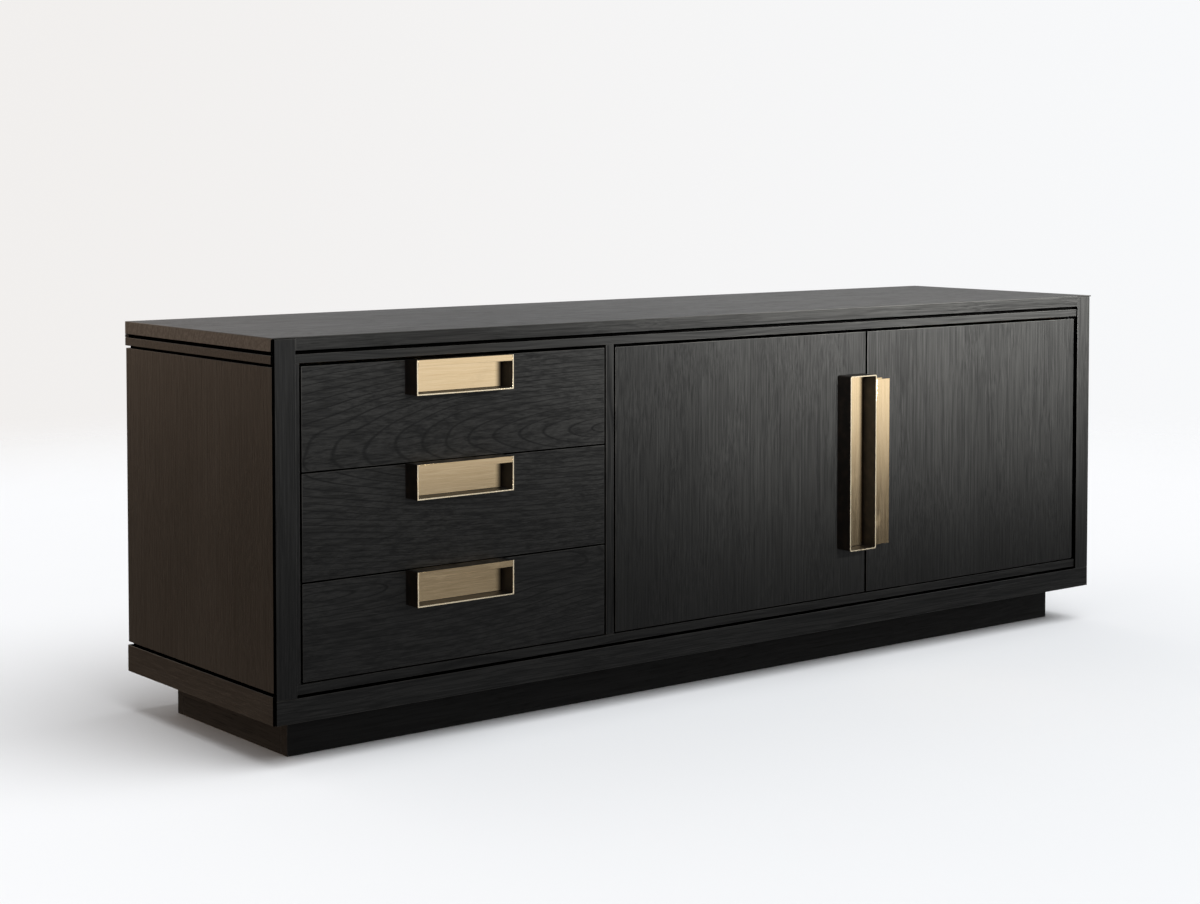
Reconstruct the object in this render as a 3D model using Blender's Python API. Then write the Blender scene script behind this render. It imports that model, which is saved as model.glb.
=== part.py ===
"""A low oak sideboard: a bank of three drawers on the left and a pair of doors on the right.

Metres, +Z up. +X runs along the width, +Y runs from the front into the case, and the origin is on the
floor at the middle of the whole object's footprint, pulls included. The case is laid out from its own
left, front and floor planes, and place() moves those to the origin's frame.
"""

import math

import bmesh
import bpy
from mathutils import Matrix, Vector

QUARTER = math.pi / 2

# --- overall sizes ---
WIDTH = 1.800
DEPTH = 0.465  # case only, without the pulls
HEIGHT = 0.626

# --- gaps ---
SEAT = 0.0003  # between two pieces that rest on each other
MITRE_SEAT = SEAT * 2**0.5
CUT_PAST = 0.005  # how far a cutter runs past the face it opens

# --- plinth ---
PLINTH_HEIGHT = 0.0645  # the part below the case that shows
PLINTH_BOARD = 0.018
PLINTH_SIDE_INSET = 0.055
PLINTH_FRONT_INSET = 0.059
PLINTH_BACK_INSET = 0.063

# --- outer frame and cladding ---
TOP_THICKNESS = 0.0205
TOP_SKIN = 0.002  # the layer of the top that runs over the stiles
STILE_WIDTH = 0.0386
FRAME_THICKNESS = 0.018
BOTTOM_RAIL_HEIGHT = 0.0359
SIDE_THICKNESS = 0.025
SIDE_PANEL_STEP = 0.0015  # the panel lies behind the rail and the top's edge
SIDE_RAIL_HEIGHT = 0.0425
CORNER_QUIRK = 0.0035  # square recess along each front corner

# --- shadow grooves ---
TOP_GROOVE = 0.005
SIDE_TOP_GROOVE = 0.004
SIDE_BOTTOM_GROOVE = 0.0048
BOTTOM_GROOVE = 0.004
GROOVE_DEPTH = 0.0095
GROOVE_STOP = 0.012  # solid length that closes the top groove at the back

# --- inner frame and boards ---
TOP_BOARD = 0.013
BOTTOM_BOARD = 0.0145
INNER_RECESS = 0.003  # inner frame and fronts lie behind the outer frame
FILLER_WIDTH = 0.0073
PARTITION = 0.0157
BACK_THICKNESS = 0.006
DRAWER_BANK_WIDTH = 0.5653  # opening between the filler strip and the partition

# --- fronts ---
FRONT_THICKNESS = 0.018
FRONT_TOP_GAP = 0.005
FRONT_BOTTOM_GAP = 0.0024
FRONT_SIDE_GAP = 0.0035
DRAWER_GAP = 0.0025
DRAWER_SHARES = (0.337, 0.347, 0.316)  # of the height of the drawer bank, from the top down
DOOR_MEETING_GAP = 0.005
RIGHT_DOOR_GAP = 0.0077
LEFT_DOOR_SHARE = 0.504  # of the pair of doors

# --- drawer boxes and slides ---
BOX_WALL = 0.012
BOX_BOTTOM = 0.006
BOX_BOTTOM_LIFT = 0.010
BOX_GROOVE_DEPTH = 0.005
BOX_LOWER_GAP = 0.012
BOX_UPPER_GAP = 0.028
BOX_BACK_GAP = 0.026
SLIDE_SPACE = 0.013
SLIDE_HEIGHT = 0.035
SLIDE_DEPTH = 0.010
SLIDE_SHEET = 0.0015
SLIDE_LIP = 0.004
SLIDE_CLEARANCE = 0.0004
SLIDE_FRONT_GAP = 0.004
SLIDE_LENGTH = 0.400

# --- pulls ---
PULL_SHEET = 0.002
PULL_PROJECTION = 0.033  # from the face of the drawer or door
DRAWER_PULL_WIDTH = 0.177
DRAWER_PULL_HEIGHT = 0.053
DRAWER_PULL_LEFT = 0.1783  # from the drawer's left edge
DRAWER_PULL_UPPER_GAP = 0.0006  # to the drawer above, which slides past
DRAWER_PULL_LIP = 0.0095
LEFT_PULL_WIDTH = 0.063
LEFT_PULL_HEIGHT = 0.3056
LEFT_PULL_EDGE = 0.005  # from the door's meeting edge
LEFT_PULL_TOP = 0.0733  # below the door's top edge
RIGHT_PULL_WIDTH = 0.032
RIGHT_PULL_HEIGHT = 0.292
RIGHT_PULL_PROJECTION = 0.021
RIGHT_PULL_EDGE = 0.002
RIGHT_PULL_TOP = 0.0830
PULL_CORNER = 0.003
PULL_PLATE_GAP = 0.0005  # between the left door's pull and the plate inside it
CORNER_STEPS = 4

# --- pivots, catch and shelf ---
PIVOT_INSET = 0.008  # from the door's hinge edge
PIVOT_SETBACK = 0.007  # behind the door's face
PIVOT_RADIUS = 0.003
PIVOT_CLEARANCE = 0.0003
PIVOT_REACH = 0.012  # into the door
PIVOT_PLATE = 0.0018
PIVOT_PLATE_LENGTH = 0.040
PIVOT_SIDES = 24
CATCH_WIDTH = 0.060
CATCH_DEPTH = 0.018
CATCH_HEIGHT = 0.013
SHELF_THICKNESS = 0.018
SHELF_LEVEL = 0.225  # top of the bottom board to the shelf's underside
SHELF_SETBACK = 0.030  # behind the doors
SHELF_SIDE_GAP = 0.001
CLEAT_WIDTH = 0.015
CLEAT_HEIGHT = 0.020

# --- levels, from the floor up ---
Z_CASE = PLINTH_HEIGHT
Z_RAIL_TOP = Z_CASE + BOTTOM_RAIL_HEIGHT
Z_DECK = Z_RAIL_TOP + BOTTOM_GROOVE
Z_DECK_TOP = Z_DECK + BOTTOM_BOARD
Z_TOP_UNDER = HEIGHT - TOP_THICKNESS
Z_BOARD_TOP = Z_TOP_UNDER - TOP_GROOVE
Z_BOARD = Z_BOARD_TOP - TOP_BOARD
Z_SIDE_RAIL_TOP = Z_CASE + SIDE_RAIL_HEIGHT
Z_FRONT_LOW = Z_DECK_TOP + FRONT_BOTTOM_GAP
Z_FRONT_HIGH = Z_BOARD - FRONT_TOP_GAP

# --- places across the width, from the case's left side ---
X_OPENING = STILE_WIDTH + FILLER_WIDTH + SEAT
X_PARTITION = X_OPENING + DRAWER_BANK_WIDTH
X_PARTITION_RIGHT = X_PARTITION + PARTITION
X_LINING_RIGHT = WIDTH - X_OPENING
X_DRAWER = X_OPENING + FRONT_SIDE_GAP
X_DRAWER_RIGHT = X_PARTITION - FRONT_SIDE_GAP
X_DOORS = X_PARTITION_RIGHT + FRONT_SIDE_GAP
X_DOORS_RIGHT = WIDTH - STILE_WIDTH - RIGHT_DOOR_GAP
DOOR_WIDTHS = X_DOORS_RIGHT - X_DOORS - DOOR_MEETING_GAP
X_MEETING_LEFT = X_DOORS + LEFT_DOOR_SHARE * DOOR_WIDTHS
X_MEETING_RIGHT = X_MEETING_LEFT + DOOR_MEETING_GAP

# --- places through the depth, from the case's front ---
Y_FACE = INNER_RECESS
Y_FACE_BACK = Y_FACE + FRONT_THICKNESS
Y_INSIDE = max(Y_FACE_BACK, FRAME_THICKNESS) + SEAT
Y_BEHIND_FRAME = FRAME_THICKNESS + SEAT
Y_BACK_PANEL = DEPTH - BACK_THICKNESS
Y_BOARD_BACK = Y_BACK_PANEL - SEAT

PULL_STANDS_OUT = PULL_PROJECTION - INNER_RECESS  # in front of the case
ORIGIN_SHIFT = Vector((-WIDTH / 2, (PULL_STANDS_OUT - DEPTH) / 2, 0.0))

PARTS = "sideboard"
CUTTERS = "sideboard_cutters"

# name: (red, green, blue, roughness, metallic)
FINISHES = {
    "black_oak": (0.035, 0.033, 0.030, 0.55, 0.0),
    "top_oak": (0.120, 0.112, 0.100, 0.50, 0.0),
    "plinth_black": (0.020, 0.019, 0.018, 0.70, 0.0),
    "brass": (0.700, 0.560, 0.330, 0.35, 1.0),
    "black_bronze": (0.020, 0.017, 0.014, 0.45, 1.0),
    "steel": (0.550, 0.560, 0.570, 0.35, 1.0),
    "birch_ply": (0.600, 0.470, 0.310, 0.60, 0.0),
    "catch_plastic": (0.030, 0.030, 0.030, 0.50, 0.0),
}


def place(x, y, z):
    """A point given from the case's left, front and floor planes, in the object's own frame."""
    return Vector((x, y, z)) + ORIGIN_SHIFT


def start_scene():
    """Clears the scene and makes the collections and the materials."""
    for item in list(bpy.data.objects):
        bpy.data.objects.remove(item)
    for name in (PARTS, CUTTERS):
        collection = bpy.data.collections.new(name)
        bpy.context.scene.collection.children.link(collection)
    for name, (red, green, blue, roughness, metallic) in FINISHES.items():
        material = bpy.data.materials.new(name)
        material.use_nodes = True
        shader = material.node_tree.nodes["Principled BSDF"]
        shader.inputs["Base Color"].default_value = (red, green, blue, 1.0)
        shader.inputs["Roughness"].default_value = roughness
        shader.inputs["Metallic"].default_value = metallic
        material.diffuse_color = (red, green, blue, 1.0)


def link(item, collection, parent=None):
    """Puts an object in a collection and, with its place kept, under a parent empty."""
    bpy.data.collections[collection].objects.link(item)
    if parent is not None:
        item.parent = parent
        item.location = item.location - parent.location
    return item


def add_axis(name, point):
    """An empty on a joint's axis, which carries the pieces that move with the joint."""
    axis = bpy.data.objects.new(name, None)
    axis.location = point
    return link(axis, PARTS)


def add_box(name, low, high, finish, parent=None, collection=PARTS):
    """A board between two opposite corners, given from the case's planes."""
    low_corner, high_corner = place(*low), place(*high)
    mesh = bpy.data.meshes.new(name)
    shape = bmesh.new()
    bmesh.ops.create_cube(shape, size=1.0)
    bmesh.ops.scale(shape, vec=high_corner - low_corner, verts=shape.verts)
    shape.to_mesh(mesh)
    shape.free()
    board = bpy.data.objects.new(name, mesh)
    board.location = (low_corner + high_corner) / 2
    if finish:
        mesh.materials.append(bpy.data.materials[finish])
    return link(board, collection, parent)


def add_outline(name, outlines, thickness, location, turn, finish, parent=None):
    """A flat outline with thickness, made solid. turn carries the outline's plane to its place."""
    curve = bpy.data.curves.new(name, "CURVE")
    curve.dimensions = "2D"
    curve.fill_mode = "BOTH"
    curve.extrude = thickness / 2
    for points in outlines:
        spline = curve.splines.new("POLY")
        spline.points.add(len(points) - 1)
        for point, (u, v) in zip(spline.points, points):
            point.co = (u, v, 0.0, 1.0)
        spline.use_cyclic_u = True
    flat = bpy.data.objects.new(name + "_outline", curve)
    bpy.context.scene.collection.objects.link(flat)
    bpy.context.view_layer.update()
    evaluated = flat.evaluated_get(bpy.context.evaluated_depsgraph_get())
    mesh = bpy.data.meshes.new_from_object(evaluated)
    mesh.name = name
    bpy.data.objects.remove(flat)
    shape = bmesh.new()
    shape.from_mesh(mesh)
    bmesh.ops.remove_doubles(shape, verts=shape.verts, dist=1e-6)
    bmesh.ops.recalc_face_normals(shape, faces=shape.faces)
    shape.to_mesh(mesh)
    shape.free()
    mesh.materials.clear()
    mesh.materials.append(bpy.data.materials[finish])
    solid = bpy.data.objects.new(name, mesh)
    solid.matrix_world = Matrix.Translation(location) @ turn
    return link(solid, PARTS, parent)


IN_PLAN = Matrix.Identity(4)  # outline in X and Y, thickness up
IN_FRONT = Matrix.Rotation(QUARTER, 4, "X")  # outline in X and Z, thickness through the depth
IN_SIDE = Matrix(((0, 0, 1, 0), (1, 0, 0, 0), (0, 1, 0, 0), (0, 0, 0, 1)))  # outline in Y and Z


def add_plan_board(name, outline, low_z, high_z, finish):
    """A board whose plan is an outline in X and Y, between two levels."""
    middle = place(0, 0, (low_z + high_z) / 2)
    return add_outline(name, [outline], high_z - low_z, middle, IN_PLAN, finish)


def mirrored(outline):
    """The plan of the left half, in order, followed by its mirror image across the case."""
    return outline + [(WIDTH - x, y) for x, y in reversed(outline)]


def cut(piece, cutter):
    """Cuts a piece with a solid that stays in the scene as a hidden wire."""
    cutter.hide_render = True
    cutter.display_type = "WIRE"
    boolean = piece.modifiers.new(cutter.name, "BOOLEAN")
    boolean.operation = "DIFFERENCE"
    boolean.solver = "EXACT"
    boolean.object = cutter


def cut_box(piece, name, low, high):
    """Cuts a piece with a box between two corners, given from the case's planes."""
    cut(piece, add_box(name, low, high, None, None, CUTTERS))


def rounded_rectangle(width, height, radius):
    """The corners of a rectangle about the origin, each one an arc of CORNER_STEPS steps."""
    points = []
    for corner in range(4):
        turn = Matrix.Rotation(corner * QUARTER, 2)
        half = Vector((width / 2, height / 2)) if corner % 2 == 0 else Vector((height / 2, width / 2))
        centre = half - Vector((radius, radius))
        for step in range(CORNER_STEPS + 1):
            arm = Matrix.Rotation(step / CORNER_STEPS * QUARTER, 2) @ Vector((radius, 0.0))
            points.append(tuple(turn @ (centre + arm)))
    return points


def build_plinth():
    """Four boards on edge that carry the bottom board. The front and back ones run past the sides."""
    top = Z_DECK - SEAT
    left = PLINTH_SIDE_INSET
    right = WIDTH - PLINTH_SIDE_INSET
    front = PLINTH_FRONT_INSET
    back = DEPTH - PLINTH_BACK_INSET
    inner_front = front + PLINTH_BOARD + SEAT
    inner_back = back - PLINTH_BOARD - SEAT
    add_box("plinth_front", (left, front, 0), (right, front + PLINTH_BOARD, top), "plinth_black")
    add_box("plinth_back", (left, back - PLINTH_BOARD, 0), (right, back, top), "plinth_black")
    add_box("plinth_left", (left, inner_front, 0), (left + PLINTH_BOARD, inner_back, top), "plinth_black")
    add_box("plinth_right", (right - PLINTH_BOARD, inner_front, 0), (right, inner_back, top), "plinth_black")


def around_stile(front_y):
    """The left end of a board's plan that passes behind the left stile, from the side to the front."""
    return [
        (0.0, CORNER_QUIRK),
        (CORNER_QUIRK - MITRE_SEAT, CORNER_QUIRK),
        (Y_BEHIND_FRAME - MITRE_SEAT, Y_BEHIND_FRAME),
        (STILE_WIDTH + SEAT, Y_BEHIND_FRAME),
        (STILE_WIDTH + SEAT, front_y),
    ]


def build_boards():
    """The bottom board, the top board, the spacer in the top groove, and the top."""
    inner_side = SIDE_THICKNESS + SEAT
    bottom = [(inner_side, Y_BOARD_BACK), (inner_side, Y_BEHIND_FRAME), *around_stile(Y_FACE)[3:]]
    add_plan_board("bottom_board", mirrored(bottom), Z_DECK, Z_DECK_TOP, "black_oak")
    board = [(0.0, DEPTH), *around_stile(Y_FACE)]
    add_plan_board("top_board", mirrored(board), Z_BOARD, Z_BOARD_TOP, "black_oak")
    spacer = [
        (0.0, DEPTH),
        (0.0, DEPTH - GROOVE_STOP),
        (GROOVE_DEPTH, DEPTH - GROOVE_STOP),
        (GROOVE_DEPTH, Y_BEHIND_FRAME),
        (STILE_WIDTH + SEAT, Y_BEHIND_FRAME),
        (STILE_WIDTH + SEAT, Y_FACE + GROOVE_DEPTH),
    ]
    add_plan_board("top_spacer", mirrored(spacer), Z_BOARD_TOP + SEAT, Z_TOP_UNDER - SEAT, "black_oak")
    top = add_box("top_panel", (0, 0, Z_TOP_UNDER), (WIDTH, DEPTH, HEIGHT), "top_oak")
    notch = [
        (-CUT_PAST, -CUT_PAST),
        (STILE_WIDTH + SEAT, -CUT_PAST),
        *reversed(around_stile(Y_FACE)[1:4]),
        (-CUT_PAST, CORNER_QUIRK),
    ]
    for side, outline in (("left", notch), ("right", [(WIDTH - x, y) for x, y in notch])):
        low_z = Z_TOP_UNDER - CUT_PAST
        high_z = HEIGHT - TOP_SKIN
        cutter = add_plan_board(side + "_stile_notch", outline, low_z, high_z, "top_oak")
        bpy.data.collections[PARTS].objects.unlink(cutter)
        bpy.data.collections[CUTTERS].objects.link(cutter)
        cut(top, cutter)


def build_frame():
    """The two stiles and the bottom rail, mitred to the sides behind the recess at each corner."""
    stile = [
        (CORNER_QUIRK, 0.0),
        (STILE_WIDTH, 0.0),
        (STILE_WIDTH, FRAME_THICKNESS),
        (FRAME_THICKNESS, FRAME_THICKNESS),
        (CORNER_QUIRK, CORNER_QUIRK),
    ]
    low_z = Z_RAIL_TOP + SEAT
    high_z = HEIGHT - TOP_SKIN - SEAT
    add_plan_board("left_stile", stile, low_z, high_z, "black_oak")
    add_plan_board("right_stile", [(WIDTH - x, y) for x, y in stile], low_z, high_z, "black_oak")
    rail = [(FRAME_THICKNESS, FRAME_THICKNESS), (CORNER_QUIRK, CORNER_QUIRK), (CORNER_QUIRK, 0.0)]
    add_plan_board("bottom_rail", mirrored(rail), Z_CASE, Z_RAIL_TOP, "black_oak")


def build_sides():
    """Each side: a panel with a groove above it and one below it, and a rail under the lower groove."""
    for side in ("left", "right"):
        for piece, outer, low_z, high_z in (
            ("side_panel", SIDE_PANEL_STEP, Z_SIDE_RAIL_TOP + SEAT, Z_BOARD - SEAT),
            ("side_rail", 0.0, Z_CASE, Z_SIDE_RAIL_TOP),
        ):
            outline = [
                (outer, DEPTH),
                (outer, CORNER_QUIRK),
                (CORNER_QUIRK - MITRE_SEAT, CORNER_QUIRK),
                (Y_BEHIND_FRAME - MITRE_SEAT, Y_BEHIND_FRAME),
                (SIDE_THICKNESS, Y_BEHIND_FRAME),
                (SIDE_THICKNESS, DEPTH),
            ]
            if side == "right":
                outline = [(WIDTH - x, y) for x, y in outline]
            board = add_plan_board(f"{side}_{piece}", outline, low_z, high_z, "black_oak")
            if piece == "side_rail":
                continue
            for groove, groove_low, groove_high in (
                ("top", Z_BOARD - SIDE_TOP_GROOVE, Z_BOARD + CUT_PAST),
                ("bottom", Z_SIDE_RAIL_TOP - CUT_PAST, Z_SIDE_RAIL_TOP + SIDE_BOTTOM_GROOVE),
            ):
                near, far = -CUT_PAST, GROOVE_DEPTH
                if side == "right":
                    near, far = WIDTH - GROOVE_DEPTH, WIDTH + CUT_PAST
                low = (near, -CUT_PAST, groove_low)
                high = (far, DEPTH + CUT_PAST, groove_high)
                cut_box(board, f"{side}_{groove}_groove", low, high)


def build_inside():
    """The linings that carry slides and shelf, the filler strip, the partition, the back and the shelf."""
    low_z = Z_DECK_TOP + SEAT
    high_z = Z_BOARD - SEAT
    lining = SIDE_THICKNESS + SEAT
    add_box("left_lining", (lining, Y_INSIDE, low_z), (X_OPENING, Y_BOARD_BACK, high_z), "birch_ply")
    right_low = (X_LINING_RIGHT, Y_INSIDE, low_z)
    add_box("right_lining", right_low, (WIDTH - lining, Y_BOARD_BACK, high_z), "birch_ply")
    filler_low = (STILE_WIDTH + SEAT, Y_FACE, low_z)
    filler_high = (X_OPENING, Y_INSIDE - SEAT, high_z)
    add_box("left_filler_strip", filler_low, filler_high, "black_oak")
    partition_low = (X_PARTITION, Y_FACE, low_z)
    add_box("centre_partition", partition_low, (X_PARTITION_RIGHT, Y_BOARD_BACK, high_z), "black_oak")
    back_low = (lining, Y_BACK_PANEL, Z_CASE)
    add_box("back_panel", back_low, (WIDTH - lining, DEPTH, high_z), "black_oak")
    shelf_z = Z_DECK_TOP + SHELF_LEVEL
    shelf_front = Y_INSIDE + SHELF_SETBACK
    shelf_low = (X_PARTITION_RIGHT + SHELF_SIDE_GAP, shelf_front, shelf_z)
    shelf_high = (X_LINING_RIGHT - SHELF_SIDE_GAP, Y_BOARD_BACK - SEAT, shelf_z + SHELF_THICKNESS)
    add_box("shelf", shelf_low, shelf_high, "birch_ply")
    for side, near in (("left", X_PARTITION_RIGHT + SEAT), ("right", X_LINING_RIGHT - SEAT - CLEAT_WIDTH)):
        cleat_low = (near, shelf_front, shelf_z - SEAT - CLEAT_HEIGHT)
        cleat_high = (near + CLEAT_WIDTH, Y_BOARD_BACK - SEAT, shelf_z - SEAT)
        add_box(side + "_shelf_cleat", cleat_low, cleat_high, "birch_ply")
    meeting = (X_MEETING_LEFT + X_MEETING_RIGHT) / 2
    catch_low = (meeting - CATCH_WIDTH / 2, Y_INSIDE, high_z - CATCH_HEIGHT)
    catch_high = (meeting + CATCH_WIDTH / 2, Y_INSIDE + CATCH_DEPTH, high_z)
    add_box("door_catch", catch_low, catch_high, "catch_plastic")


def slide_outlines(facing):
    """The channel on the case and the runner on the drawer, across a slide, from the case's wall.

    facing is 1 for the drawer's left side, where the channel opens towards +X, and -1 for its right."""
    half = SLIDE_HEIGHT / 2
    channel = [
        (SEAT, -half),
        (SLIDE_DEPTH, -half),
        (SLIDE_DEPTH, -half + SLIDE_LIP),
        (SLIDE_DEPTH - SLIDE_SHEET, -half + SLIDE_LIP),
        (SLIDE_DEPTH - SLIDE_SHEET, -half + SLIDE_SHEET),
        (SEAT + SLIDE_SHEET, -half + SLIDE_SHEET),
    ]
    runner_half = half - SLIDE_SHEET - SLIDE_CLEARANCE
    neck_half = half - SLIDE_LIP - SLIDE_CLEARANCE
    inner = SLIDE_DEPTH - SLIDE_SHEET - SLIDE_CLEARANCE
    runner = [
        (SEAT + SLIDE_SHEET + SLIDE_CLEARANCE, -runner_half),
        (inner, -runner_half),
        (inner, -neck_half),
        (SLIDE_SPACE - SEAT, -neck_half),
    ]
    whole = []
    for half_outline in (channel, runner):
        points = half_outline + [(u, -v) for u, v in reversed(half_outline)]
        whole.append([(facing * u, v) for u, v in points])
    return whole


def drawer_bodies():
    """Each drawer's name and its front's lowest and highest level, from the top down."""
    bodies = []
    height = Z_FRONT_HIGH - Z_FRONT_LOW - 2 * DRAWER_GAP
    high_z = Z_FRONT_HIGH
    for name, share in zip(("top", "middle", "bottom"), DRAWER_SHARES):
        low_z = high_z - share * height
        bodies.append((name + "_drawer", low_z, high_z))
        high_z = low_z - DRAWER_GAP
    return bodies


def build_drawer(name, low_z, high_z):
    """A front, a box with its bottom in a groove, a pull, and a slide at each side."""
    box_low = low_z + BOX_LOWER_GAP
    box_high = high_z - BOX_UPPER_GAP
    box_left = X_OPENING + SLIDE_SPACE
    box_right = X_PARTITION - SLIDE_SPACE
    box_back = Y_BOARD_BACK - BOX_BACK_GAP
    slide_z = (box_low + box_high) / 2
    axis = add_axis(name + "_axis", place((X_DRAWER + X_DRAWER_RIGHT) / 2, Y_FACE, slide_z))
    front_low = (X_DRAWER, Y_FACE, low_z)
    add_box(name + "_front", front_low, (X_DRAWER_RIGHT, Y_FACE_BACK, high_z), "black_oak", axis)

    box = add_box(name + "_box", (box_left, Y_INSIDE, box_low), (box_right, box_back, box_high), "birch_ply", axis)
    hollow_low = (box_left + BOX_WALL, Y_INSIDE + BOX_WALL, box_low - CUT_PAST)
    hollow_high = (box_right - BOX_WALL, box_back - BOX_WALL, box_high + CUT_PAST)
    cut_box(box, name + "_hollow", hollow_low, hollow_high)
    reach = BOX_WALL - BOX_GROOVE_DEPTH
    groove_low = (box_left + reach, Y_INSIDE + reach, box_low + BOX_BOTTOM_LIFT)
    groove_high = (box_right - reach, box_back - reach, box_low + BOX_BOTTOM_LIFT + BOX_BOTTOM)
    cut_box(box, name + "_bottom_groove", groove_low, groove_high)
    bottom_low = [value + SEAT for value in groove_low]
    bottom_high = [value - SEAT for value in groove_high]
    add_box(name + "_bottom", bottom_low, bottom_high, "birch_ply", axis)

    slide_y = Y_INSIDE + SLIDE_FRONT_GAP + SLIDE_LENGTH / 2
    for side, wall, facing in (("left", X_OPENING, 1), ("right", X_PARTITION, -1)):
        channel, runner = slide_outlines(facing)
        centre = place(wall, slide_y, slide_z)
        add_outline(f"{name}_{side}_channel", [channel], SLIDE_LENGTH, centre, IN_FRONT, "steel")
        add_outline(f"{name}_{side}_runner", [runner], SLIDE_LENGTH, centre, IN_FRONT, "steel", axis)

    build_drawer_pull(name, high_z, axis)


def build_drawer_pull(name, drawer_top, axis):
    """A dark surround, open at the top and the front, and a brass sheet that backs, roofs and lips it."""
    left = X_DRAWER + DRAWER_PULL_LEFT
    right = left + DRAWER_PULL_WIDTH
    high_z = drawer_top + DRAWER_GAP - DRAWER_PULL_UPPER_GAP
    low_z = high_z - DRAWER_PULL_HEIGHT
    depth = PULL_PROJECTION - SEAT
    surround = [
        (left, low_z),
        (right, low_z),
        (right, high_z),
        (right - PULL_SHEET, high_z),
        (right - PULL_SHEET, low_z + PULL_SHEET),
        (left + PULL_SHEET, low_z + PULL_SHEET),
        (left + PULL_SHEET, high_z),
        (left, high_z),
    ]
    centre = place(0, Y_FACE - SEAT - depth / 2, 0)
    add_outline(name + "_pull_surround", [surround], depth, centre, IN_FRONT, "black_bronze", axis)
    back_y = Y_FACE - SEAT
    front_y = Y_FACE - PULL_PROJECTION
    sheet_low = low_z + PULL_SHEET + SEAT
    sheet = [
        (back_y, sheet_low),
        (back_y, high_z),
        (front_y, high_z),
        (front_y, high_z - DRAWER_PULL_LIP),
        (front_y + PULL_SHEET, high_z - DRAWER_PULL_LIP),
        (front_y + PULL_SHEET, high_z - PULL_SHEET),
        (back_y - PULL_SHEET, high_z - PULL_SHEET),
        (back_y - PULL_SHEET, sheet_low),
    ]
    width = DRAWER_PULL_WIDTH - 2 * (PULL_SHEET + SEAT)
    centre = place((left + right) / 2, 0, 0)
    add_outline(name + "_pull_sheet", [sheet], width, centre, IN_SIDE, "brass", axis)


def pivot_x(side):
    """The place across the width of a door's pivot axis."""
    return X_DOORS + PIVOT_INSET if side == "left" else X_DOORS_RIGHT - PIVOT_INSET


def add_rod(name, point, radius, low_z, high_z, collection, finish=None):
    """An upright round rod about a point given from the case's planes."""
    mesh = bpy.data.meshes.new(name)
    shape = bmesh.new()
    bmesh.ops.create_cone(
        shape,
        cap_ends=True,
        segments=PIVOT_SIDES,
        radius1=radius,
        radius2=radius,
        depth=high_z - low_z,
    )
    shape.to_mesh(mesh)
    shape.free()
    mesh.shade_smooth()
    mesh.set_sharp_from_angle(angle=0.6)
    if finish:
        mesh.materials.append(bpy.data.materials[finish])
    rod = bpy.data.objects.new(name, mesh)
    rod.location = place(point[0], point[1], (low_z + high_z) / 2)
    return link(rod, collection)


def build_door(side):
    """A door board that turns on an upright pin at each end of its hinge edge."""
    name = side + "_door"
    left, right = (X_DOORS, X_MEETING_LEFT) if side == "left" else (X_MEETING_RIGHT, X_DOORS_RIGHT)
    x, y = pivot_x(side), Y_FACE + PIVOT_SETBACK
    axis = add_axis(name + "_axis", place(x, y, Z_FRONT_LOW))
    door_low = (left, Y_FACE, Z_FRONT_LOW)
    door = add_box(name + "_board", door_low, (right, Y_FACE_BACK, Z_FRONT_HIGH), "black_oak", axis)
    plate_left = left if side == "left" else right - PIVOT_PLATE_LENGTH
    for end, board_z, door_z, up in (("top", Z_BOARD, Z_FRONT_HIGH, 1), ("bottom", Z_DECK_TOP, Z_FRONT_LOW, -1)):
        hole_reach = PIVOT_REACH + SEAT
        hole_z = sorted((door_z - up * hole_reach, door_z + up * CUT_PAST))
        hole = add_rod(f"{name}_{end}_hole", (x, y), PIVOT_RADIUS + PIVOT_CLEARANCE, *hole_z, CUTTERS)
        cut(door, hole)
        plate_z = sorted((board_z - up * SEAT, board_z - up * (SEAT + PIVOT_PLATE)))
        plate_low = (plate_left, Y_FACE + SEAT, plate_z[0])
        plate_high = (plate_left + PIVOT_PLATE_LENGTH, Y_FACE_BACK, plate_z[1])
        plate = add_box(f"{name}_{end}_pivot", plate_low, plate_high, "steel")
        pin_z = sorted((door_z - up * PIVOT_REACH, board_z - up * (SEAT + PIVOT_PLATE / 2)))
        pin = add_rod(f"{name}_{end}_pin", (x, y), PIVOT_RADIUS, *pin_z, CUTTERS, "steel")
        pin.hide_render = True
        pin.display_type = "WIRE"
        joined = plate.modifiers.new("pin", "BOOLEAN")
        joined.operation = "UNION"
        joined.solver = "EXACT"
        joined.object = pin
    return axis


def build_left_pull(axis):
    """A tall tray beside the meeting edge: a dark ring with a brass plate across its back."""
    right = X_MEETING_LEFT - LEFT_PULL_EDGE
    centre_x = right - LEFT_PULL_WIDTH / 2
    centre_z = Z_FRONT_HIGH - LEFT_PULL_TOP - LEFT_PULL_HEIGHT / 2
    depth = PULL_PROJECTION - SEAT
    outer = rounded_rectangle(LEFT_PULL_WIDTH, LEFT_PULL_HEIGHT, PULL_CORNER)
    inner_width = LEFT_PULL_WIDTH - 2 * PULL_SHEET
    inner_height = LEFT_PULL_HEIGHT - 2 * PULL_SHEET
    inner = rounded_rectangle(inner_width, inner_height, PULL_CORNER - PULL_SHEET)
    centre = place(centre_x, Y_FACE - SEAT - depth / 2, centre_z)
    add_outline("left_door_pull_surround", [outer, inner], depth, centre, IN_FRONT, "black_bronze", axis)
    plate_x = inner_width / 2 - PULL_PLATE_GAP
    plate_z = inner_height / 2 - PULL_PLATE_GAP
    plate_low = (centre_x - plate_x, Y_FACE - SEAT - PULL_SHEET, centre_z - plate_z)
    plate_high = (centre_x + plate_x, Y_FACE - SEAT, centre_z + plate_z)
    add_box("left_door_pull_plate", plate_low, plate_high, "brass", axis)


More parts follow.
